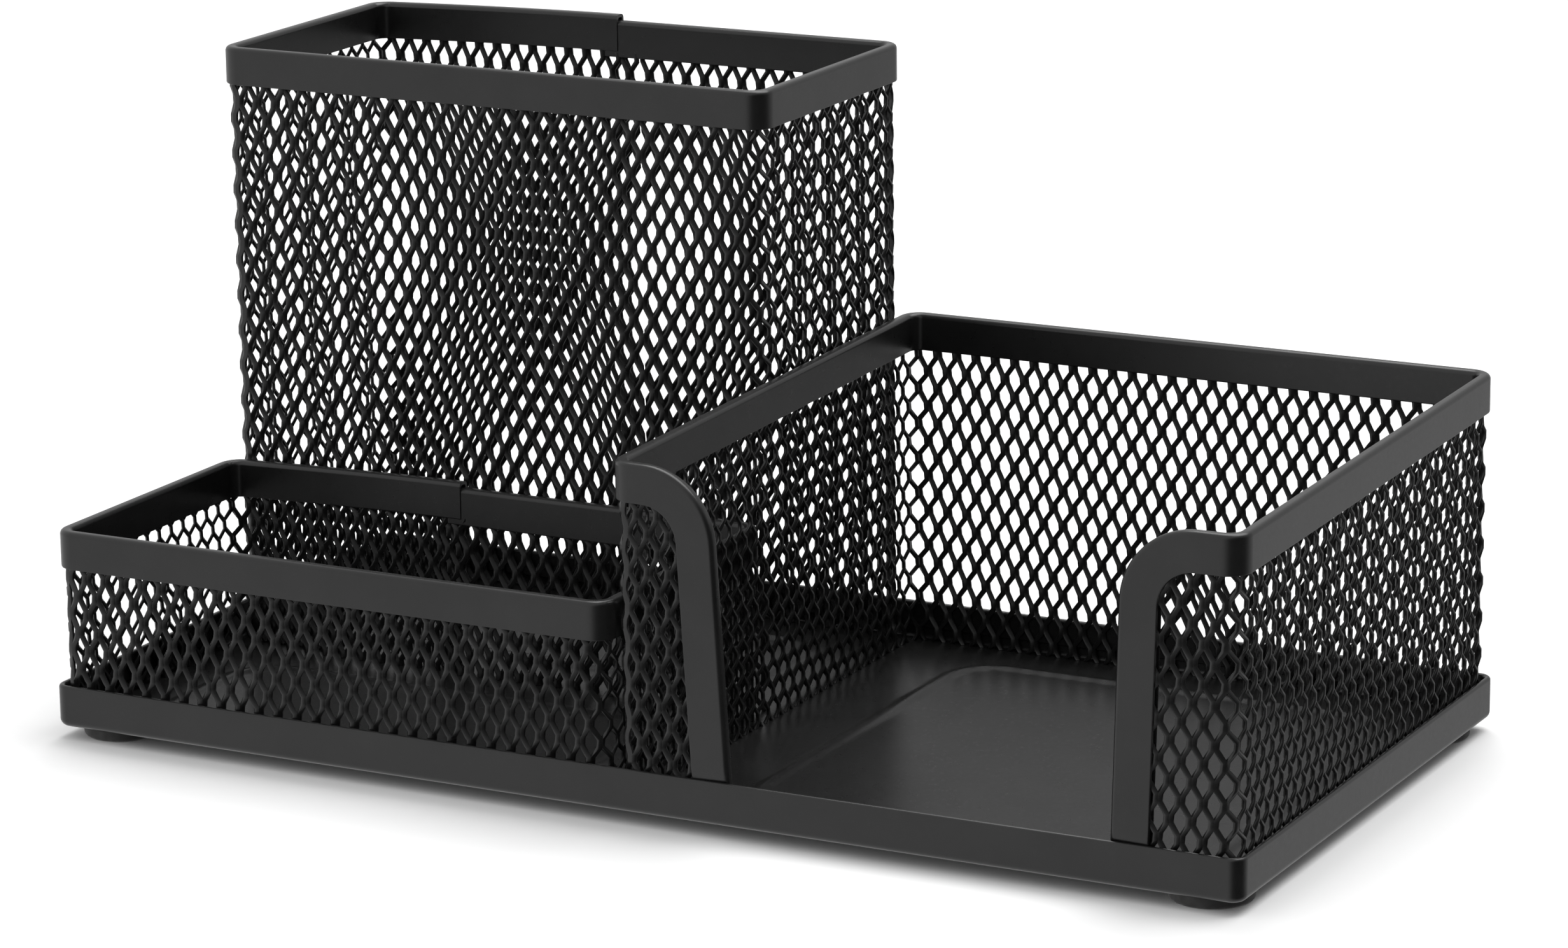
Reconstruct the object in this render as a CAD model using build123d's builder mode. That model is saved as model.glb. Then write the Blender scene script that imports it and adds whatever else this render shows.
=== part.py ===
"""Mesh desk organizer: a pen cup, a clip tray and a note bin standing in one steel base pan.

Millimetres, +Z up, +X along the length, front towards -Y. The origin is on the desk, under the
middle of the base pan. Every wall is one strip of expanded steel, bent round and lapped, whose
top edge sits in a folded steel channel. The strips stand on the floor of the pan, against its lip.
"""

from build123d import *
import math
import os

INCH = 25.4

# Whole object
BASE_LENGTH = 8.1 * INCH
BASE_DEPTH = 4.1 * INCH
FOOT_HEIGHT = 2.0

# Base pan: pressed sheet with a hemmed lip and shallow embossed panels
SHEET = 0.5
LIP_HEIGHT = 6.9
HEM_DEPTH = 4.5
BASE_CORNER = 2.6
BASE_BEND = 1.2
LIP_THICKNESS = 2 * SHEET
LIP_EDGE_RADIUS = 0.45
EMBOSS = 0.6
EMBOSS_TAPER = 40
EMBOSS_CORNER = 12.0
EMBOSS_MARGIN = 8.9
BIN_PARTITION_MARGIN = 14.2

# Walls and the channels folded over them
MESH_DEPTH = 1.0
CHANNEL_SHEET = 0.5
GROOVE_PLAY = 0.03
GROOVE = MESH_DEPTH + 2 * GROOVE_PLAY
CHANNEL = GROOVE + 2 * CHANNEL_SHEET
BAND_HEIGHT = 6.2
RIM_CORNER = 4.0
RIM_EDGE_RADIUS = 0.45
RIM_INSET = LIP_THICKNESS - CHANNEL_SHEET
LAP_LENGTH = 14.0

# Compartments, measured over the outer faces of their channels
LEFT = -BASE_LENGTH / 2 + RIM_INSET
RIGHT = BASE_LENGTH / 2 - RIM_INSET
FRONT = -BASE_DEPTH / 2 + RIM_INSET
BACK = BASE_DEPTH / 2 - RIM_INSET
PARTITION = -1.1
COMPARTMENT_GAP = 0.5
CUP_FRONT = 1.2
CUP_TOP = FOOT_HEIGHT + 101.7
TRAY_TOP = FOOT_HEIGHT + 32.4
CUP_SEAM_X = -54.0
TRAY_SEAM_X = -56.5

# Note bin: sloping top edge and a front opening between two leaning posts
BIN_TOP_BACK = FOOT_HEIGHT + 56.8
BIN_TOP_FRONT = FOOT_HEIGHT + 54.8
LEFT_RETURN = 17.1
RIGHT_RETURN = 19.1
LEFT_LEAN = 3.4
RIGHT_LEAN = 1.8
POST_BEND = 12.0

# Feet: round pads, each held by its own adhesive disc
FOOT_DIAMETER = 13.0
FOOT_EDGE_RADIUS = 0.6
FOOT_FROM_EDGE = 8.0
ADHESIVE = 0.15
ADHESIVE_DIAMETER = FOOT_DIAMETER - 1.0

# Construction allowances
CLEAR = 0.05
CUT = 1.0
TALL = 200.0

MESH_INSET = CHANNEL_SHEET + GROOVE_PLAY
MESH_DROP = CHANNEL_SHEET + CLEAR
FLOOR_TOP = FOOT_HEIGHT + SHEET
LIP_TOP = FOOT_HEIGHT + LIP_HEIGHT

os.makedirs("parts", exist_ok=True)


class Compartment:
    """The rectangle of one compartment, over the outer faces of its channel."""

    def __init__(self, left, right, front, back):
        self.left, self.right, self.front, self.back = left, right, front, back
        self.centre = ((left + right) / 2, (front + back) / 2)
        self.length = right - left
        self.depth = back - front


PEN_CUP = Compartment(LEFT, PARTITION - COMPARTMENT_GAP / 2, CUP_FRONT, BACK)
CLIP_TRAY = Compartment(LEFT, PARTITION - COMPARTMENT_GAP / 2, FRONT, CUP_FRONT - COMPARTMENT_GAP)
NOTE_BIN = Compartment(PARTITION + COMPARTMENT_GAP / 2, RIGHT, FRONT, BACK)


def write(part, name):
    """Label one finished piece and write it to its own file."""
    part.label = name
    export_step(part, f"parts/{name}.step")


def ring(compartment, inset, thickness, low, high):
    """An upright closed strip that follows a compartment's outline at a given inset."""
    with BuildPart() as strip:
        with BuildSketch(Plane.XY.offset(low)):
            with Locations(compartment.centre):
                RectangleRounded(
                    compartment.length - 2 * inset,
                    compartment.depth - 2 * inset,
                    RIM_CORNER - inset,
                )
                RectangleRounded(
                    compartment.length - 2 * (inset + thickness),
                    compartment.depth - 2 * (inset + thickness),
                    RIM_CORNER - inset - thickness,
                    mode=Mode.SUBTRACT,
                )
        extrude(amount=high - low)
    return strip.part


# ---------------------------------------------------------------- base pan
with BuildPart() as pan_hollow:
    with BuildSketch(Plane.XY.offset(FLOOR_TOP)):
        RectangleRounded(BASE_LENGTH - 2 * SHEET, BASE_DEPTH - 2 * SHEET, BASE_CORNER - SHEET)
    extrude(amount=LIP_HEIGHT - SHEET - HEM_DEPTH)
    fillet(pan_hollow.faces().sort_by(Axis.Z)[0].edges(), radius=BASE_BEND - SHEET)

with BuildPart() as base_pan:
    with BuildSketch(Plane.XY.offset(FOOT_HEIGHT)):
        RectangleRounded(BASE_LENGTH, BASE_DEPTH, BASE_CORNER)
    extrude(amount=LIP_HEIGHT)
    fillet(base_pan.faces().sort_by(Axis.Z)[0].edges(), radius=BASE_BEND)
    # The mouth inside the hemmed lip, and the wider hollow below the hem
    with BuildSketch(Plane.XY.offset(LIP_TOP)):
        RectangleRounded(
            BASE_LENGTH - 2 * LIP_THICKNESS,
            BASE_DEPTH - 2 * LIP_THICKNESS,
            BASE_CORNER - LIP_THICKNESS,
        )
    extrude(amount=-HEM_DEPTH, mode=Mode.SUBTRACT)
    add(pan_hollow.part, mode=Mode.SUBTRACT)
    fillet(base_pan.faces().sort_by(Axis.Z)[-1].edges(), radius=LIP_EDGE_RADIUS)
    # One panel is pressed up out of the floor inside each compartment
    for compartment, left_margin in (
        (PEN_CUP, EMBOSS_MARGIN),
        (CLIP_TRAY, EMBOSS_MARGIN),
        (NOTE_BIN, BIN_PARTITION_MARGIN),
    ):
        length = compartment.length - left_margin - EMBOSS_MARGIN
        depth = compartment.depth - 2 * EMBOSS_MARGIN
        middle = (compartment.left + left_margin + length / 2, compartment.centre[1])
        for level, mode in ((FLOOR_TOP, Mode.ADD), (FOOT_HEIGHT, Mode.SUBTRACT)):
            with BuildSketch(Plane.XY.offset(level)):
                with Locations(middle):
                    RectangleRounded(length, depth, EMBOSS_CORNER)
            extrude(amount=EMBOSS, taper=EMBOSS_TAPER, mode=mode)

write(base_pan.part, "base_pan")


# ---------------------------------------------------------------- pen cup and clip tray
def closed_wall(compartment, top, name):
    """The lapped strip of a closed compartment, as a plain strip of the mesh's true depth."""
    write(ring(compartment, MESH_INSET, MESH_DEPTH, FLOOR_TOP + CLEAR, top - MESH_DROP), name)


def closed_rim(compartment, top, seam_x, name):
    """A folded channel ring whose last stretch laps over its first, on the back wall."""
    low = top - BAND_HEIGHT
    band = ring(compartment, 0, CHANNEL, low, top)
    groove = ring(compartment, CHANNEL_SHEET, GROOVE, low - CLEAR, top - CHANNEL_SHEET)
    with BuildPart() as rim:
        add(band)
        fillet(rim.faces().sort_by(Axis.Z)[-1].edges(), radius=RIM_EDGE_RADIUS)
        with BuildSketch(Plane.XY.offset(low + CHANNEL_SHEET)):
            with Locations((seam_x - LAP_LENGTH / 2, compartment.back - CHANNEL / 2)):
                Rectangle(LAP_LENGTH, CHANNEL + 2 * CHANNEL_SHEET)
        extrude(amount=BAND_HEIGHT)
        lap_edges = rim.faces().sort_by(Axis.Z)[-1].edges().filter_by(Axis.X)
        fillet(lap_edges, radius=RIM_EDGE_RADIUS)
        add(groove, mode=Mode.SUBTRACT)
    write(rim.part, name)


closed_wall(PEN_CUP, CUP_TOP, "pen_cup_mesh")
closed_rim(PEN_CUP, CUP_TOP, CUP_SEAM_X, "pen_cup_rim")
closed_wall(CLIP_TRAY, TRAY_TOP, "clip_tray_mesh")
closed_rim(CLIP_TRAY, TRAY_TOP, TRAY_SEAM_X, "clip_tray_rim")


# ---------------------------------------------------------------- note bin
BIN_SLOPE = math.atan2(BIN_TOP_BACK - BIN_TOP_FRONT, NOTE_BIN.depth)
BIN_TOP_PLANE = Plane(
    origin=(*NOTE_BIN.centre, (BIN_TOP_BACK + BIN_TOP_FRONT) / 2),
    x_dir=(1, 0, 0),
    z_dir=(0, -math.sin(BIN_SLOPE), math.cos(BIN_SLOPE)),
)
POST_HEIGHT = BIN_TOP_FRONT - FLOOR_TOP
LEFT_DRIFT = POST_HEIGHT * math.tan(math.radians(LEFT_LEAN))
RIGHT_DRIFT = POST_HEIGHT * math.tan(math.radians(RIGHT_LEAN))


def bin_strip(face_inset, thickness, edge_inset):
    """The U-shaped strip of the note bin, with its sloping top and its front opening.

    edge_inset draws the free edge in, all along the top, round the bends and down the posts.
    """
    opening_left = NOTE_BIN.left + LEFT_RETURN - edge_inset
    opening_right = NOTE_BIN.right - RIGHT_RETURN + edge_inset
    bend_height = BIN_TOP_FRONT - edge_inset
    walls = ring(NOTE_BIN, face_inset, thickness, FLOOR_TOP + CLEAR, TALL)
    with BuildPart() as strip:
        add(walls)
        split(bisect_by=BIN_TOP_PLANE.offset(-edge_inset), keep=Keep.BOTTOM)
        with BuildSketch(Plane.XZ.offset(-NOTE_BIN.front + CHANNEL)):
            Polygon(
                (opening_left + LEFT_DRIFT, FLOOR_TOP),
                (opening_right - RIGHT_DRIFT, FLOOR_TOP),
                (opening_right, BIN_TOP_FRONT),
                (opening_right, TALL),
                (opening_left, TALL),
                (opening_left, BIN_TOP_FRONT),
                align=None,
            )
        extrude(amount=-3 * CHANNEL, mode=Mode.SUBTRACT)
        bend_edges = [
            edge
            for edge in strip.edges()
            if abs(edge.center().Z - bend_height) < CUT
            and opening_left - CUT < edge.center().X < opening_right + CUT
            and abs(edge.tangent_at(0).Y) > abs(edge.tangent_at(0).X)
        ]
        fillet(bend_edges, radius=POST_BEND - edge_inset)
    return strip.part


write(bin_strip(MESH_INSET, MESH_DEPTH, MESH_DROP), "note_bin_mesh")

rim_outside = bin_strip(0, CHANNEL, 0)
rim_window = bin_strip(-CUT, CHANNEL + 2 * CUT, BAND_HEIGHT)
rim_groove = bin_strip(CHANNEL_SHEET, GROOVE, CHANNEL_SHEET)
with BuildPart() as note_rim:
    add(rim_outside)
    add(rim_window, mode=Mode.SUBTRACT)
    add(rim_groove, mode=Mode.SUBTRACT)
    # The posts' lower ends are pinched flat where they tuck in behind the lip
    with BuildSketch(Plane.XY.offset(FLOOR_TOP)):
        Rectangle(BASE_LENGTH + CUT, BASE_DEPTH + CUT)
        Rectangle(
            BASE_LENGTH - 2 * (LIP_THICKNESS + CLEAR),
            BASE_DEPTH - 2 * (LIP_THICKNESS + CLEAR),
            mode=Mode.SUBTRACT,
        )
    extrude(amount=LIP_HEIGHT - SHEET + CLEAR, mode=Mode.SUBTRACT)
write(note_rim.part, "note_bin_rim")


# ---------------------------------------------------------------- feet
FOOT_X = BASE_LENGTH / 2 - FOOT_FROM_EDGE
FOOT_Y = BASE_DEPTH / 2 - FOOT_FROM_EDGE
FOOT_PLACES = {
    "front_left": (-FOOT_X, -FOOT_Y),
    "front_right": (FOOT_X, -FOOT_Y),
    "back_left": (-FOOT_X, FOOT_Y),
    "back_right": (FOOT_X, FOOT_Y),
}

for corner, place in FOOT_PLACES.items():
    with BuildPart() as foot:
        with BuildSketch(Plane.XY):
            with Locations(place):
                Circle(FOOT_DIAMETER / 2)
        extrude(amount=FOOT_HEIGHT - ADHESIVE)
        fillet(foot.faces().sort_by(Axis.Z)[0].edges(), radius=FOOT_EDGE_RADIUS)
    write(foot.part, f"foot_{corner}")

    with BuildPart() as adhesive:
        with BuildSketch(Plane.XY.offset(FOOT_HEIGHT - ADHESIVE)):
            with Locations(place):
                Circle(ADHESIVE_DIAMETER / 2)
        extrude(amount=ADHESIVE)
    write(adhesive.part, f"foot_adhesive_{corner}")
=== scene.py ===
"""Looks of the mesh desk organizer: expanded steel walls, folded rims, pressed pan and pads.

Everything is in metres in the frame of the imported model: +Z up, front towards -Y, the desk at 0.
Walls and rims are laid out on the unrolled strip, by the distance along its middle line and the
height, and then bent round the corners of their compartment.
"""

import bisect
import math

import bmesh
import bpy
from mathutils import Matrix, Vector


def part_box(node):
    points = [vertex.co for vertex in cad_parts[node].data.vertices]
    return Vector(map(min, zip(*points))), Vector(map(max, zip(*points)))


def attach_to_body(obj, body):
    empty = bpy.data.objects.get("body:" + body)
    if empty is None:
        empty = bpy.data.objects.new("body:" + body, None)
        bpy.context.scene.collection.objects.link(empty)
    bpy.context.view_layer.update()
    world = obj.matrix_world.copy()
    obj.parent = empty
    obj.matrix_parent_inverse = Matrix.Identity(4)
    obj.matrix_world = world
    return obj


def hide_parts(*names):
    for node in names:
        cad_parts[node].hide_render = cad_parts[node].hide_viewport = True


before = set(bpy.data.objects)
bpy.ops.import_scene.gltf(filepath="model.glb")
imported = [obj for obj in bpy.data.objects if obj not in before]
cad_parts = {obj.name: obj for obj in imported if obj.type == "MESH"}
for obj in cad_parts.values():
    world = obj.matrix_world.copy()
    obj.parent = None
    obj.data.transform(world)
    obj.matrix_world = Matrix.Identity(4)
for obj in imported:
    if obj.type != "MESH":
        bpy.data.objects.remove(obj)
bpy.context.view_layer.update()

MM = 0.001
BODY = "root"

# Expanded steel: staggered diamonds between strands that lie tilted about the vertical
DIAMOND_WIDTH = 3.517 * MM
DIAMOND_HEIGHT = 5.97 * MM
STRAND_WIDTH = 0.84 * MM
STRAND_THICKNESS = 0.6 * MM
STRAND_TILT = math.radians(33)
STRAND_CHAMFER = 0.24 * MM
BOND_LENGTH = 1.3 * MM
BOND_OVERLAP = 0.1 * MM
BOND_SKEW = 0.08
EDGE_BREAK = 0.01 * MM
MESH_DEPTH = 1.0 * MM
MESH_LAP_STRANDS = 2.2
MESH_LAP_INWARD = 0.55 * MM
BIN_MESH_REACH = (2 * MM, 3 * MM)

# Where the strands of each strip start along it, and the height of one row of bonds. These were
# set one by one, and so was the slight squeeze of the cup's strip.
CUP_MESH_PHASE, CUP_MESH_ROW = 0.33 * MM, 8.1 * MM
CUP_MESH_STRETCH = 0.994
TRAY_MESH_PHASE, TRAY_MESH_ROW = 0.85 * MM, 8.85 * MM
BIN_MESH_PHASE, BIN_MESH_ROW = 0.457 * MM, 4.19 * MM

# Folded channels over the top edges
BAND_HEIGHT = 6.2 * MM
BAND_DEPTH = 2.06 * MM
BAND_FOLD = 0.78 * MM
CHANNEL_SHEET = 0.5 * MM
CHANNEL_HEM_BEND = 0.25 * MM
CHANNEL_GROOVE_BEND = 0.2 * MM
CHANNEL_OVER_MESH = 0.55 * MM
RIM_CORNER = 3.7 * MM
HIDDEN_IN_CHANNEL = 1.3 * MM
LAP_RAISE = 1.0 * MM
LAP_SWELL = 0.3 * MM
LAP_FADE = 46 * MM
LAP_FADE_POWER = 1.6
LAP_SWELL_FADE = 12 * MM
LAP_TUCK = 2.5 * MM
LAP_UNDER = 6 * MM
LAP_UNDER_PINCH = -0.06 * MM
RIM_STEP, RIM_ARC_STEP = 4 * MM, 0.55 * MM
CUP_SEAM_X = -54.0 * MM
CUP_MESH_SEAM_X = -51.5 * MM
TRAY_SEAM_X = -56.5 * MM

# Note bin: sloping top and two leaning posts
BIN_TOP_BACK = 58.8 * MM
BIN_TOP_FRONT = 56.8 * MM
LEFT_RETURN = 17.1 * MM
RIGHT_RETURN = 19.1 * MM
LEFT_LEAN = math.radians(3.4)
RIGHT_LEAN = math.radians(1.8)
POST_BEND = 12.0 * MM
POST_BEND_STEPS = 18
POST_BEHIND_LIP = 0.05 * MM

# Base pan
SHEET = 0.5 * MM
LIP_THICKNESS = 1.0 * MM
HEM_DEPTH = 4.5 * MM
PAN_CORNER = 2.4 * MM
PAN_BEND = 1.2 * MM
PAN_STEP, PAN_ARC_STEP = 6 * MM, 0.4 * MM
HEM_ROUND = 0.2 * MM
FLOOR_INSET = 0.95 * MM
FINE_STEP, MIDDLE_STEP, WIDE_STEP = 0.5 * MM, 0.9 * MM, 3 * MM
FINE_REACH = 5 * MM
EMBOSS = 0.6 * MM
EMBOSS_SLOPE = 2.2 * MM
EMBOSS_DISH = 0.28 * MM
EMBOSS_DISH_SLOPE = 2.0 * MM
EMBOSS_CORNER = 10.0 * MM
EMBOSS_MARGIN = 8.9 * MM
BIN_PARTITION_MARGIN = 14.2 * MM

# Feet
FOOT_EDGE = 0.6 * MM
FOOT_TOP_EDGE = 0.12 * MM
FOOT_STEPS = 72

# Angles in degrees above which an edge shows as sharp
SHARP_EDGE = 50
SHARP_RIM_EDGE = 38

# Powder coat
COAT_DARK = (0.006, 0.006, 0.006)
COAT_LIGHT = (0.010, 0.010, 0.010)
COAT_ROUGHNESS = 0.29
COAT_SPECULAR = 0.45

# Rubber, transfer tape and studio floor
RUBBER_DARK = (0.012, 0.012, 0.012)
RUBBER_LIGHT = (0.024, 0.023, 0.022)
TAPE_DARK = (0.30, 0.29, 0.27)
TAPE_LIGHT = (0.42, 0.41, 0.38)
FLOOR_DARK = (0.90, 0.90, 0.90)
FLOOR_LIGHT = (0.92, 0.92, 0.92)

# Studio
ROOM_BRIGHT, ROOM_DIM = 1.0, 0.6
ROOM_DIM_WAY = (143, 0)
PANEL_WAY = (62, -12)
PANEL_EDGE = (0.35, 0.9)
PANEL_LEVEL = 0.05
CAMERA_AZIMUTH = 27.49
CAMERA_ELEVATION = 14.49
CAMERA_ROLL = -0.61
CAMERA_DISTANCE = 875.0 * MM
CAMERA_TARGET = (2.38 * MM, 0.0, 43.07 * MM)
CAMERA_LENS = 127.0


class Outline:
    """Middle line of a bent strip seen from above, walked with its outside on the right."""

    def __init__(self, points, radius):
        self.runs = []
        self.starts = []
        self.length = 0.0
        here = Vector(points[0])
        for corner, after in zip(points[1:-1], points[2:]):
            corner, after = Vector(corner), Vector(after)
            into = (corner - here).normalized()
            out = (after - corner).normalized()
            self._straight(here, corner - into * radius)
            self._arc(corner - into * radius, into, radius)
            here = corner + out * radius
        self._straight(here, Vector(points[-1]))

    def _add(self, run, length):
        self.starts.append(self.length)
        self.runs.append(run)
        self.length += length

    def _straight(self, start, end):
        way = (end - start).normalized()
        self._add(("straight", start, way), (end - start).length)

    def _arc(self, start, way, radius):
        inward = Vector((-way.y, way.x))
        angle = math.atan2(-inward.y, -inward.x)
        self._add(("arc", start + inward * radius, radius, angle), radius * math.pi / 2)

    def at(self, s):
        """The place at distance s along the line, and the outward direction there."""
        index = max(0, bisect.bisect_right(self.starts, s) - 1)
        run = self.runs[index]
        along = s - self.starts[index]
        if run[0] == "straight":
            _, start, way = run
            return start + way * along, Vector((way.y, -way.x))
        _, centre, radius, angle = run
        outward = Vector((math.cos(angle + along / radius), math.sin(angle + along / radius)))
        return centre + outward * radius, outward

    def place(self, s, depth, z):
        """The point at distance s, depth outside the middle line, and height z."""
        middle, outward = self.at(s)
        return Vector((*(middle + outward * depth), z))

    def stations(self, start, end, step, arc_step):
        """Distances from start to end: every step on the straights, closer round the corners."""
        found = {start, end}
        for index, run in enumerate(self.runs):
            low = self.starts[index]
            high = self.starts[index + 1] if index + 1 < len(self.runs) else self.length
            spacing = step if run[0] == "straight" else arc_step
            count = max(1, math.ceil((high - low) / spacing))
            found.update(low + (high - low) * n / count for n in range(count + 1))
        return sorted(s for s in found if start <= s <= end)


def closed_outline(node, seam_x):
    """Middle line of a closed compartment, from its seam on the back wall and round."""
    low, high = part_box(node)
    half = MESH_DEPTH / 2
    left, right = low.x + half, high.x - half
    front, back = low.y + half, high.y - half
    corners = [(left, back), (left, front), (right, front), (right, back)]
    radius = RIM_CORNER - BAND_DEPTH / 2
    return Outline([(seam_x, back), *corners, (seam_x, back)], radius)


def bin_outline():
    """Middle line of the note bin, from the right side of its opening round to the left."""
    low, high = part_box("note_bin_mesh")
    half = MESH_DEPTH / 2
    left, right = low.x + half, high.x - half
    front, back = low.y + half, high.y - half
    corners = [(right, front), (right, back), (left, back), (left, front)]
    radius = RIM_CORNER - BAND_DEPTH / 2
    rim_low, rim_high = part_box("note_bin_rim")
    start, end = (rim_high.x - RIGHT_RETURN, front), (rim_low.x + LEFT_RETURN, front)
    return Outline([start, *corners, end], radius)


def turn(angle, steps):
    """Angles from 0 to a whole turn of a bend, in equal steps."""
    return [angle * n / steps for n in range(steps + 1)]


def finish_mesh(name, vertices, faces, sharp):
    """A mesh object with faces turned outwards, smooth apart from edges above a sharp angle."""
    mesh = bpy.data.meshes.new(name)
    mesh.from_pydata(vertices, [], faces)
    work = bmesh.new()
    work.from_mesh(mesh)
    bmesh.ops.recalc_face_normals(work, faces=work.faces)
    work.to_mesh(mesh)
    work.free()
    mesh.shade_smooth()
    mesh.set_sharp_from_angle(angle=math.radians(sharp))
    piece = bpy.data.objects.new(name, mesh)
    bpy.context.scene.collection.objects.link(piece)
    weighted = piece.modifiers.new("flat_faces_stay_flat", "WEIGHTED_NORMAL")
    weighted.keep_sharp = True
    return piece


def attach(piece, material, slot, *nodes):
    """Give a piece its material and its place in the frame, instead of the nodes."""
    piece.data.materials.append(material)
    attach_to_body(piece, BODY)
    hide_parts(*nodes)


# ---------------------------------------------------------------- expanded steel walls
HALF_PITCH = DIAMOND_WIDTH / 2
ROW = DIAMOND_HEIGHT / 2
BOND_REACH = (STRAND_WIDTH - BOND_OVERLAP) / 2
BOND_ASIDE = HALF_PITCH / 2 - BOND_REACH * math.cos(STRAND_TILT)
BOND_OUT = BOND_REACH * math.sin(STRAND_TILT)
STRAND_SLOPE = math.atan2(2 * BOND_ASIDE, ROW - BOND_LENGTH)
MITRE = math.tan(STRAND_SLOPE / 2)


def strand_section(side):
    """Eight corners of a strand's section, as (along, outward), chamfered on its free side."""
    half_w, half_t = STRAND_WIDTH / 2, STRAND_THICKNESS / 2
    plus = STRAND_CHAMFER * (1 - side) / 2 + EDGE_BREAK
    minus = STRAND_CHAMFER * (1 + side) / 2 + EDGE_BREAK
    corners = [
        (half_w - plus, half_t),
        (half_w, half_t - plus),
        (half_w, -half_t + plus),
        (half_w - plus, -half_t),
        (-half_w + minus, -half_t),
        (-half_w, -half_t + minus),
        (-half_w, half_t - minus),
        (-half_w + minus, half_t),
    ]
    cosine, sine = math.cos(STRAND_TILT), math.sin(STRAND_TILT)
    return [(a * cosine + b * sine, -a * sine + b * cosine) for a, b in corners]


def strand_stations(index, first_row, low, high):
    """(height, side, lean, mitre) of each bend of one strand between two heights.

    side is 1 where the strand is bonded to the next one and -1 where to the one before, and
    lean is how far the bond's end lies along the strip from the bond's middle.
    """
    row = math.floor((low - first_row) / ROW) - 1
    bends = []
    while first_row + row * ROW < high + ROW:
        side = 1 if (index + row) % 2 == 0 else -1
        z = first_row + row * ROW
        for end in (-0.5, 0.5):
            height = end * BOND_LENGTH
            bends.append((z + height, side, BOND_SKEW * height, 2 * end * side * MITRE))
        row += 1
    kept = []
    for here, after in zip(bends, bends[1:]):
        inside = low < here[0] < high
        for cut in (low, high):
            if here[0] <= cut < after[0]:
                part = (cut - here[0]) / (after[0] - here[0])
                side, lean = (here[n] + (after[n] - here[n]) * part for n in (1, 2))
                cut_bend = (cut, side, lean, 0.0)
                if cut == low:
                    kept.append(cut_bend)
                    continue
                if inside:
                    kept.append(here)
                    inside = False
                kept.append(cut_bend)
        if inside:
            kept.append(here)
    return kept


def expanded_wall(name, outline, phase, row, limits, reach, depth_at=lambda s: 0.0, stretch=1.0):
    """All strands of one expanded strip.

    phase shifts them along the strip and row is the height of a row of bonds. limits and depth_at
    give a strand's lowest and highest point and how far outside the middle line it lies. The
    strands go on past both ends of the outline by reach.
    """
    vertices, faces = [], []
    spacing = HALF_PITCH * stretch
    count = int((outline.length + reach[0] + reach[1]) / spacing) + 2
    first = math.floor(-reach[0] / spacing)
    for index in range(first, first + count):
        middle = (phase + (index + 0.5) * HALF_PITCH) * stretch
        if not -reach[0] <= middle <= outline.length + reach[1]:
            continue
        low, high = limits(middle)
        if high - low < ROW / 2:
            continue
        before = None
        for z, side, lean, mitre in strand_stations(index, row, low, high):
            ring = len(vertices)
            for along, outward in strand_section(side):
                s = middle + side * BOND_ASIDE + lean + along
                depth = side * BOND_OUT + outward + depth_at(middle)
                vertices.append(outline.place(s, depth, z + mitre * along))
            if before is None:
                faces.append([ring + n for n in range(8)])
            else:
                for n in range(8):
                    m = (n + 1) % 8
                    faces.append([before + n, before + m, ring + m, ring + n])
            before = ring
        faces.append([before + n for n in reversed(range(8))])
    return finish_mesh(name, vertices, faces, SHARP_EDGE)


def closed_wall(name, seam_x, phase, row, stretch, material):
    """The mesh of a closed compartment, lapped on itself at the back wall."""
    outline = closed_outline(name, seam_x)
    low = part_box(name)[0].z
    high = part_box(name)[1].z + CHANNEL_OVER_MESH - BAND_HEIGHT + HIDDEN_IN_CHANNEL
    lap = MESH_LAP_STRANDS * HALF_PITCH

    def depth_at(s):
        return -MESH_LAP_INWARD if s > outline.length - 0.2 * lap else 0.0

    wall = expanded_wall(
        name + "_strands",
        outline,
        phase,
        row,
        lambda s: (low, high),
        (0.0, lap),
        depth_at,
        stretch,
    )
    attach(wall, material, "black_powder_coat", name)


def bin_top(outline, s):
    """Height of the note bin's sloping top edge above distance s."""
    low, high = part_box("note_bin_rim")
    y = outline.at(s)[0].y
    part = (y - low.y) / (high.y - low.y)
    return BIN_TOP_FRONT + (BIN_TOP_BACK - BIN_TOP_FRONT) * part


def inner_edge(s, lean):
    """Height of the post band's inner edge, s from where its free edge meets the top edge.

    Past the post's bend it sets no limit, because the sloping top band does.
    """
    sine, cosine = math.sin(lean), math.cos(lean)
    centre_s = POST_BEND * (1 - sine) / cosine
    inner = POST_BEND - BAND_HEIGHT
    if s >= centre_s:
        return BIN_TOP_BACK
    if s >= centre_s - inner * cosine:
        return BIN_TOP_FRONT - POST_BEND + math.sqrt(inner**2 - (centre_s - s) ** 2)
    return BIN_TOP_FRONT - (BAND_HEIGHT / cosine - s) / math.tan(lean)


def bin_wall(phase, row, material):
    """The U-shaped mesh of the note bin, cut to its posts and its sloping top."""
    outline = bin_outline()
    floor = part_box("note_bin_mesh")[0].z

    def limits(s):
        top = bin_top(outline, s) - BAND_HEIGHT
        top = min(top, inner_edge(s + HIDDEN_IN_CHANNEL, RIGHT_LEAN))
        top = min(top, inner_edge(outline.length - s + HIDDEN_IN_CHANNEL, LEFT_LEAN))
        return floor, top + HIDDEN_IN_CHANNEL

    wall = expanded_wall("note_bin_strands", outline, phase, row, limits, BIN_MESH_REACH)
    attach(wall, material, "black_powder_coat", "note_bin_mesh")


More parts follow.
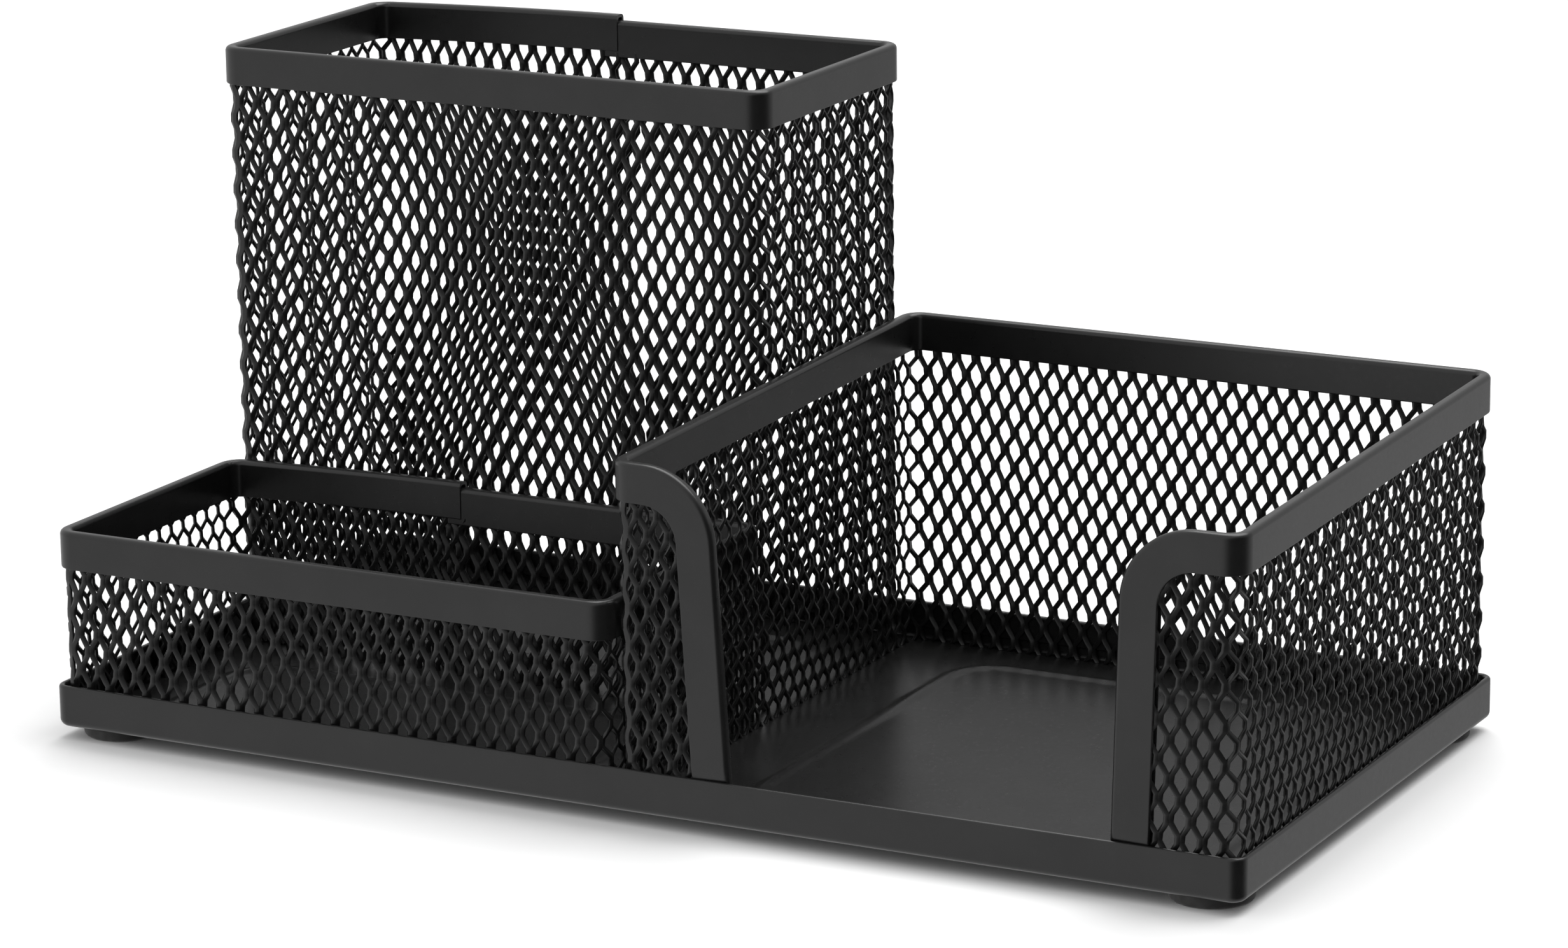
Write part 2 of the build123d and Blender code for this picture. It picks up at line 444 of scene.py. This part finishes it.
# ---------------------------------------------------------------- folded rims
def channel_section(height, depth):
    """A folded channel's section as (down, outward) corners: round top, open below."""
    half, fold, bend = depth / 2, BAND_FOLD, CHANNEL_HEM_BEND
    section = []
    for angle in turn(math.pi / 2, 6):
        section.append((fold - fold * math.sin(angle), half - fold + fold * math.cos(angle)))
    for angle in turn(math.pi / 2, 6):
        section.append((fold - fold * math.cos(angle), -half + fold - fold * math.sin(angle)))
    wall = CHANNEL_SHEET
    for side in (-1, 1):
        hem = [
            (height - bend, side * half),
            (height - bend * 0.3, side * (half - bend * 0.3)),
            (height, side * (half - bend)),
            (height, side * (half - wall)),
        ]
        shoulder = half - wall - CHANNEL_GROOVE_BEND
        groove = [(fold, side * (half - wall)), (wall, side * shoulder)]
        part = hem + groove
        section += part if side < 0 else part[::-1]
    return section


def sweep(rings, name):
    """A closed solid through rings of points, capped at both ends."""
    vertices, faces = [], []
    size = len(rings[0])
    for ring in rings:
        base = len(vertices)
        vertices += ring
        if base:
            for n in range(size):
                m = (n + 1) % size
                faces.append([base - size + n, base - size + m, base + m, base + n])
    faces.append(list(range(size)))
    faces.append([len(vertices) - size + n for n in reversed(range(size))])
    return finish_mesh(name, vertices, faces, SHARP_RIM_EDGE)


def closed_rim(node, mesh_node, seam_x, material):
    """A channel bent round a closed compartment: its first end rides up over its last."""
    outline = closed_outline(mesh_node, seam_x)
    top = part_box(mesh_node)[1].z + CHANNEL_OVER_MESH
    stations = outline.stations(0.0, outline.length, RIM_STEP, RIM_ARC_STEP)
    rings = []
    for s in stations + [outline.length + LAP_TUCK]:
        fade = max(0.0, 1 - s / LAP_FADE)
        raised = LAP_RAISE * (1 - (1 - fade) ** LAP_FADE_POWER)
        swell = LAP_SWELL * max(0.0, 1 - s / LAP_SWELL_FADE) ** 0.5
        if s > outline.length - LAP_UNDER:
            swell = LAP_UNDER_PINCH
        rings.append(
            [
                outline.place(s, out, top + raised - down)
                for down, out in channel_section(BAND_HEIGHT, BAND_DEPTH + swell)
            ]
        )
    rim = sweep(rings, node + "_channel")
    attach(rim, material, "black_powder_coat", node)


def post_edge(lean):
    """Free edge of a post, up from the floor and round its bend: (s, z, inward s, inward z)."""
    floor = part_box("note_bin_rim")[0].z
    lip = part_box("base_pan")[1].z
    sine, cosine = math.sin(lean), math.cos(lean)
    centre_s = POST_BEND * (1 - sine) / cosine
    centre_z = BIN_TOP_FRONT - POST_BEND
    bend_z = centre_z + POST_BEND * sine
    # Close together about the lip, where the post comes out from behind it
    heights = [floor, lip - 1.2 * MM, lip - 0.3 * MM, lip + 0.5 * MM, lip + 2 * MM]
    heights += [lip + (bend_z - lip) * n / 8 for n in range(1, 8)]
    points = []
    for z in sorted(heights):
        points.append((-(BIN_TOP_FRONT - z) * math.tan(lean), z, cosine, -sine))
    for n in range(POST_BEND_STEPS + 1):
        angle = math.pi - lean - (math.pi / 2 - lean) * n / POST_BEND_STEPS
        across, up = math.cos(angle), math.sin(angle)
        points.append((centre_s + POST_BEND * across, centre_z + POST_BEND * up, -across, -up))
    return points


def bin_rim(material):
    """One channel up the right post, round the sloping top and down the left post."""
    outline = bin_outline()
    lip_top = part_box("base_pan")[1].z
    lip_face = MESH_DEPTH / 2 - POST_BEHIND_LIP
    right = post_edge(RIGHT_LEAN)
    left = [
        (outline.length - s, z, -in_s, in_z) for s, z, in_s, in_z in reversed(post_edge(LEFT_LEAN))
    ]
    level = [
        (s, bin_top(outline, s), 0.0, -1.0)
        for s in outline.stations(right[-1][0], left[0][0], RIM_STEP, RIM_ARC_STEP)
    ]
    rings = []
    for s, z, in_s, in_z in right + level[1:-1] + left:
        ring = []
        for down, out in channel_section(BAND_HEIGHT, BAND_DEPTH):
            if z < lip_top:
                # The post is pinched flat where it tucks in behind the lip
                out = min(out, lip_face)
            ring.append(outline.place(s + in_s * down, out, z + in_z * down))
        rings.append(ring)
    rim = sweep(rings, "note_bin_rim_channel")
    attach(rim, material, "black_powder_coat", "note_bin_rim")


# ---------------------------------------------------------------- base pan and feet
def pan_lip(low, high):
    """Rings of the pan's edge: the bend, the upright lip and its flat hem, all the way round."""
    corners = [(low.x, high.y), (low.x, low.y), (high.x, low.y), (high.x, high.y)]
    middle = ((low.x + high.x) / 2, high.y)
    outline = Outline([middle, *corners, middle], PAN_CORNER)
    bend_z = low.z + PAN_BEND
    round_top = LIP_THICKNESS / 2
    section = []
    for angle in turn(math.pi / 2, 6):
        out, z = -PAN_BEND + PAN_BEND * math.sin(angle), bend_z - PAN_BEND * math.cos(angle)
        section.append((out, z))
    for angle in turn(math.pi, 12):
        out = -round_top + round_top * math.cos(angle)
        section.append((out, high.z - round_top + round_top * math.sin(angle)))
    hem = high.z - HEM_DEPTH
    section += [(-LIP_THICKNESS, hem + HEM_ROUND), (-LIP_THICKNESS + HEM_ROUND, hem)]
    section += [(-SHEET, hem), (-SHEET, bend_z)]
    inner = PAN_BEND - SHEET
    for angle in turn(math.pi / 2, 4)[1:]:
        section.append((-PAN_BEND + inner * math.cos(angle), bend_z - inner * math.sin(angle)))
    stations = outline.stations(0.0, outline.length, PAN_STEP, PAN_ARC_STEP)[:-1]
    vertices, faces = [], []
    size = len(section)
    for s in stations:
        vertices += [outline.place(s, out, z) for out, z in section]
    for k in range(len(stations)):
        here, after = k * size, (k + 1) % len(stations) * size
        for n in range(size):
            m = (n + 1) % size
            faces.append([here + n, here + m, after + m, after + n])
    return vertices, faces


def box_distance(x, y, low, high, radius):
    """Signed distance from a point to a rounded rectangle, negative inside."""
    dx = abs(x - (low[0] + high[0]) / 2) - (high[0] - low[0]) / 2 + radius
    dy = abs(y - (low[1] + high[1]) / 2) - (high[1] - low[1]) / 2 + radius
    outside = math.hypot(max(dx, 0.0), max(dy, 0.0))
    return outside + min(max(dx, dy), 0.0) - radius


def pressed_panels():
    """(low, high) of the shallow panel pressed up in each compartment."""
    panels = []
    for node, left_margin in (
        ("pen_cup_mesh", EMBOSS_MARGIN),
        ("clip_tray_mesh", EMBOSS_MARGIN),
        ("note_bin_mesh", BIN_PARTITION_MARGIN),
    ):
        low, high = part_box(node)
        edge = (BAND_DEPTH - MESH_DEPTH) / 2
        left, front = low.x - edge + left_margin, low.y - edge + EMBOSS_MARGIN
        right, back = high.x + edge - EMBOSS_MARGIN, high.y + edge - EMBOSS_MARGIN
        panels.append(((left, front), (right, back)))
    return panels


def smooth_step(part):
    """A soft S from 0 to 1."""
    part = min(1.0, max(0.0, part))
    return part * part * (3 - 2 * part)


def pressed_height(x, y, panels):
    """How far the floor is pressed up at a point: up to a bead round the panel, less inside it."""
    inside = -min(box_distance(x, y, low, high, EMBOSS_CORNER) for low, high in panels)
    rise = EMBOSS * smooth_step(inside / EMBOSS_SLOPE)
    return rise - EMBOSS_DISH * smooth_step((inside - EMBOSS_SLOPE) / EMBOSS_DISH_SLOPE)


def grid_lines(low, high, edges):
    """Coordinates from low to high, close together on the slopes and wider apart elsewhere."""
    lines = [low]
    while lines[-1] < high:
        near = min(abs(lines[-1] - edge) for edge in edges)
        step = FINE_STEP if near < FINE_REACH else MIDDLE_STEP if near < EMBOSS_CORNER else WIDE_STEP
        lines.append(min(high, lines[-1] + step))
    return lines


def pan_floor(low, high):
    """Both faces of the pressed floor, and its edge, which lies inside the pan's bend."""
    panels = pressed_panels()
    corner = PAN_CORNER - FLOOR_INSET
    left, right = low.x + FLOOR_INSET, high.x - FLOOR_INSET
    front, back = low.y + FLOOR_INSET, high.y - FLOOR_INSET
    columns = grid_lines(left, right, [p[n][0] for p in panels for n in (0, 1)])
    rows = grid_lines(front, back, [p[n][1] for p in panels for n in (0, 1)])
    vertices, faces = [], []
    for base in (low.z + SHEET, low.z):
        for y in rows:
            for x in columns:
                dx = max(0.0, left + corner - x, x - right + corner)
                dy = max(0.0, front + corner - y, y - back + corner)
                far = math.hypot(dx, dy)
                pull = 1 - corner / far if far > corner else 0.0
                px = x + math.copysign(dx * pull, -x)
                py = y + math.copysign(dy * pull, -y)
                vertices.append(Vector((px, py, base + pressed_height(px, py, panels))))
    wide, count = len(columns), len(columns) * len(rows)
    for layer in (0, count):
        for j in range(len(rows) - 1):
            for i in range(wide - 1):
                a = layer + j * wide + i
                faces.append([a, a + 1, a + wide + 1, a + wide])
    rim = list(range(wide))
    rim += [j * wide + wide - 1 for j in range(1, len(rows))]
    rim += [(len(rows) - 1) * wide + i for i in range(wide - 2, -1, -1)]
    rim += [j * wide for j in range(len(rows) - 2, 0, -1)]
    for a, b in zip(rim, rim[1:] + rim[:1]):
        faces.append([a, b, b + count, a + count])
    return vertices, faces


def base_pan(material):
    """The pressed pan: hemmed lip and embossed floor."""
    low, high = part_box("base_pan")
    vertices, faces = pan_lip(low, high)
    more, more_faces = pan_floor(low, high)
    base = len(vertices)
    faces += [[base + n for n in face] for face in more_faces]
    pan = finish_mesh("base_pan_pressing", vertices + more, faces, SHARP_EDGE)
    attach(pan, material, "black_powder_coat", "base_pan")


def foot(node, material):
    """A moulded round pad with rounded edges and a shallow dished underside."""
    low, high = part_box(node)
    centre, radius = (low + high) / 2, (high.x - low.x) / 2
    profile = [
        (0.0, low.z + 0.25 * MM),
        (radius * 0.55, low.z + 0.2 * MM),
        (radius - 1.6 * MM, low.z + 0.03 * MM),
    ]
    for angle in turn(math.pi / 2, 6):
        out = radius - FOOT_EDGE + FOOT_EDGE * math.sin(angle)
        profile.append((out, low.z + FOOT_EDGE - FOOT_EDGE * math.cos(angle)))
    profile += [(radius, high.z - FOOT_TOP_EDGE), (radius - FOOT_TOP_EDGE, high.z), (0.0, high.z)]
    vertices, faces = [], []
    for distance, z in profile:
        reach = max(distance, 0.02 * MM)
        for n in range(FOOT_STEPS):
            angle = 2 * math.pi * n / FOOT_STEPS
            x, y = centre.x + reach * math.cos(angle), centre.y + reach * math.sin(angle)
            vertices.append(Vector((x, y, z)))
    for k in range(len(profile) - 1):
        here, after = k * FOOT_STEPS, (k + 1) * FOOT_STEPS
        for n in range(FOOT_STEPS):
            m = (n + 1) % FOOT_STEPS
            faces.append([here + n, here + m, after + m, after + n])
    faces.append(list(range(FOOT_STEPS)))
    faces.append([(len(profile) - 1) * FOOT_STEPS + n for n in range(FOOT_STEPS)])
    pad = finish_mesh(node + "_pad", vertices, faces, SHARP_EDGE)
    attach(pad, material, "foot_rubber", node)


# ---------------------------------------------------------------- materials
class Nodes:
    """Short hand for one material's node tree."""

    def __init__(self, name):
        self.material = bpy.data.materials.new(name)
        self.material.use_nodes = True
        self.tree = self.material.node_tree
        self.shader = self.tree.nodes["Principled BSDF"]
        self.coordinates = self.add("ShaderNodeTexCoord")

    def add(self, kind, **values):
        node = self.tree.nodes.new(kind)
        for key, value in values.items():
            setattr(node, key, value)
        return node

    def link(self, source, target):
        self.tree.links.new(source, target)

    def noise(self, size, detail):
        """Noise in object space with features about size metres across."""
        node = self.add("ShaderNodeTexNoise")
        node.inputs["Scale"].default_value = 1 / size
        node.inputs["Detail"].default_value = detail
        node.inputs["Roughness"].default_value = 0.55
        self.link(self.coordinates.outputs["Object"], node.inputs["Vector"])
        return node.outputs["Fac"]

    def ramp(self, source, low, high):
        """Map the middle of the noise's range to a range of values."""
        node = self.add("ShaderNodeMapRange")
        node.inputs["From Min"].default_value = 0.3
        node.inputs["From Max"].default_value = 0.7
        node.inputs["To Min"].default_value = low
        node.inputs["To Max"].default_value = high
        self.link(source, node.inputs["Value"])
        return node.outputs["Result"]

    def colours(self, source, first, second):
        node = self.add("ShaderNodeMix", data_type="RGBA")
        node.inputs["A"].default_value = (*first, 1)
        node.inputs["B"].default_value = (*second, 1)
        self.link(source, node.inputs["Factor"])
        return node.outputs["Result"]

    def bump(self, source, depth, after=None):
        node = self.add("ShaderNodeBump")
        node.inputs["Strength"].default_value = 1.0
        node.inputs["Distance"].default_value = depth
        self.link(source, node.inputs["Height"])
        if after is not None:
            self.link(after, node.inputs["Normal"])
        return node.outputs["Normal"]


def powder_coat():
    """Black satin powder coat: fine orange peel, a little colour and gloss variation."""
    nodes = Nodes("black_powder_coat")
    shader = nodes.shader
    shade = nodes.ramp(nodes.noise(9 * MM, 3), 0.0, 1.0)
    nodes.link(nodes.colours(shade, COAT_DARK, COAT_LIGHT), shader.inputs["Base Color"])
    gloss = nodes.ramp(nodes.noise(0.8 * MM, 5), COAT_ROUGHNESS - 0.02, COAT_ROUGHNESS + 0.03)
    nodes.link(gloss, shader.inputs["Roughness"])
    peel = nodes.bump(nodes.noise(0.55 * MM, 2), 0.0009 * MM)
    grain = nodes.bump(nodes.noise(0.12 * MM, 3), 0.0004 * MM, after=peel)
    nodes.link(grain, shader.inputs["Normal"])
    shader.inputs["IOR"].default_value = 1.5
    shader.inputs["Specular IOR Level"].default_value = COAT_SPECULAR
    return nodes.material


def rubber():
    """Matt black rubber with a moulded grain and a trace of dust."""
    nodes = Nodes("foot_rubber")
    shader = nodes.shader
    shade = nodes.ramp(nodes.noise(2.2 * MM, 5), 0.0, 1.0)
    nodes.link(nodes.colours(shade, RUBBER_DARK, RUBBER_LIGHT), shader.inputs["Base Color"])
    nodes.link(nodes.ramp(nodes.noise(1.1 * MM, 4), 0.6, 0.8), shader.inputs["Roughness"])
    nodes.link(nodes.bump(nodes.noise(0.25 * MM, 3), 0.01 * MM), shader.inputs["Normal"])
    shader.inputs["IOR"].default_value = 1.5
    return nodes.material


def adhesive():
    """Cloudy transfer tape between pad and pan."""
    nodes = Nodes("foot_adhesive")
    shader = nodes.shader
    shade = nodes.ramp(nodes.noise(1.4 * MM, 4), 0.0, 1.0)
    nodes.link(nodes.colours(shade, TAPE_DARK, TAPE_LIGHT), shader.inputs["Base Color"])
    nodes.link(nodes.ramp(nodes.noise(0.6 * MM, 4), 0.5, 0.7), shader.inputs["Roughness"])
    nodes.link(nodes.bump(nodes.noise(0.4 * MM, 2), 0.008 * MM), shader.inputs["Normal"])
    return nodes.material


def studio_floor():
    """Seamless pale floor."""
    nodes = Nodes("pale_floor")
    shade = nodes.ramp(nodes.noise(0.4, 2), 0.0, 1.0)
    colour = nodes.colours(shade, FLOOR_DARK, FLOOR_LIGHT)
    nodes.link(colour, nodes.shader.inputs["Base Color"])
    nodes.shader.inputs["Roughness"].default_value = 0.8
    nodes.shader.inputs["Specular IOR Level"].default_value = 0.1
    return nodes.material


# ---------------------------------------------------------------- studio
def make_floor():
    """A wide flat floor that the object stands on."""
    work = bmesh.new()
    bmesh.ops.create_grid(work, x_segments=8, y_segments=8, size=4.0)
    mesh = bpy.data.meshes.new("studio_floor")
    work.to_mesh(mesh)
    work.free()
    mesh.materials.append(studio_floor())
    floor = bpy.data.objects.new("studio_floor", mesh)
    bpy.context.scene.collection.objects.link(floor)
    floor.visible_glossy = False


def direction_of(azimuth, elevation):
    """The way that an azimuth and elevation in degrees point; azimuth 0 is the front."""
    azimuth, elevation = math.radians(azimuth), math.radians(elevation)
    level = math.cos(elevation)
    return math.sin(azimuth) * level, -math.cos(azimuth) * level, math.sin(elevation)


def make_world():
    """A white studio, a little darker behind, with one dark panel to the right of the camera."""
    world = bpy.data.worlds.new("studio")
    world.use_nodes = True
    nodes, link = world.node_tree.nodes, world.node_tree.links.new
    direction = nodes.new("ShaderNodeTexCoord").outputs["Generated"]

    def towards(way, start, end, low, high):
        """A value that passes smoothly from low to high as directions near a way."""
        product = nodes.new("ShaderNodeVectorMath")
        product.operation = "DOT_PRODUCT"
        product.inputs[1].default_value = direction_of(*way)
        link(direction, product.inputs[0])
        spread = nodes.new("ShaderNodeMapRange")
        spread.interpolation_type = "SMOOTHSTEP"
        ends = {"From Min": start, "From Max": end, "To Min": low, "To Max": high}
        for key, value in ends.items():
            spread.inputs[key].default_value = value
        link(product.outputs["Value"], spread.inputs["Value"])
        return spread.outputs["Result"]

    room = towards(ROOM_DIM_WAY, -1.0, 1.0, ROOM_BRIGHT, ROOM_DIM)
    panel = towards(PANEL_WAY, *PANEL_EDGE, 1.0, PANEL_LEVEL)
    level = nodes.new("ShaderNodeMath")
    level.operation = "MULTIPLY"
    link(room, level.inputs[0])
    link(panel, level.inputs[1])
    link(level.outputs["Value"], nodes["Background"].inputs["Strength"])
    nodes["Background"].inputs["Color"].default_value = (1, 1, 1, 1)
    bpy.context.scene.world = world


def softbox(name, place, aim, width, height, power):
    """A large rectangular light, aimed at a point."""
    light = bpy.data.lights.new(name, "AREA")
    light.shape = "RECTANGLE"
    light.size, light.size_y = width, height
    light.energy = power
    lamp = bpy.data.objects.new(name, light)
    lamp.location = place
    lamp.rotation_euler = (Vector(aim) - Vector(place)).to_track_quat("-Z", "Y").to_euler()
    bpy.context.scene.collection.objects.link(lamp)


def make_camera():
    """The camera stands at the angle, distance and lens of the product view."""
    roll = math.radians(CAMERA_ROLL)
    back = Vector(direction_of(CAMERA_AZIMUTH, CAMERA_ELEVATION))
    right = (-back).cross(Vector((0, 0, 1))).normalized()
    up = right.cross(-back)
    rolled_right = right * math.cos(roll) + up * math.sin(roll)
    rolled_up = up * math.cos(roll) - right * math.sin(roll)
    data = bpy.data.cameras.new("product_camera")
    data.sensor_width = 36
    data.lens = CAMERA_LENS
    data.clip_start, data.clip_end = 0.01, 20
    camera = bpy.data.objects.new("product_camera", data)
    bpy.context.scene.collection.objects.link(camera)
    place = Matrix((rolled_right, rolled_up, back)).transposed().to_4x4()
    place.translation = Vector(CAMERA_TARGET) + back * CAMERA_DISTANCE
    camera.matrix_world = place
    bpy.context.scene.camera = camera


def make_object():
    """Every piece that shows, each with its material."""
    coat, pads, tape = powder_coat(), rubber(), adhesive()
    cup_start = CUP_MESH_SEAM_X, CUP_MESH_PHASE, CUP_MESH_ROW, CUP_MESH_STRETCH
    closed_wall("pen_cup_mesh", *cup_start, coat)
    closed_wall("clip_tray_mesh", TRAY_SEAM_X, TRAY_MESH_PHASE, TRAY_MESH_ROW, 1.0, coat)
    bin_wall(BIN_MESH_PHASE, BIN_MESH_ROW, coat)
    closed_rim("pen_cup_rim", "pen_cup_mesh", CUP_SEAM_X, coat)
    closed_rim("clip_tray_rim", "clip_tray_mesh", TRAY_SEAM_X, coat)
    bin_rim(coat)
    base_pan(coat)
    for corner in ("front_left", "front_right", "back_left", "back_right"):
        foot("foot_" + corner, pads)
        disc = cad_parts["foot_adhesive_" + corner]
        disc.data.materials.clear()
        disc.data.materials.append(tape)


make_camera()
make_floor()
make_world()
softbox("overhead", place=(0.1, 0.35, 1.0), aim=(0, 0, 0), width=1.2, height=0.8, power=12)
make_object()

view = bpy.context.scene.view_settings
view.view_transform = "Standard"
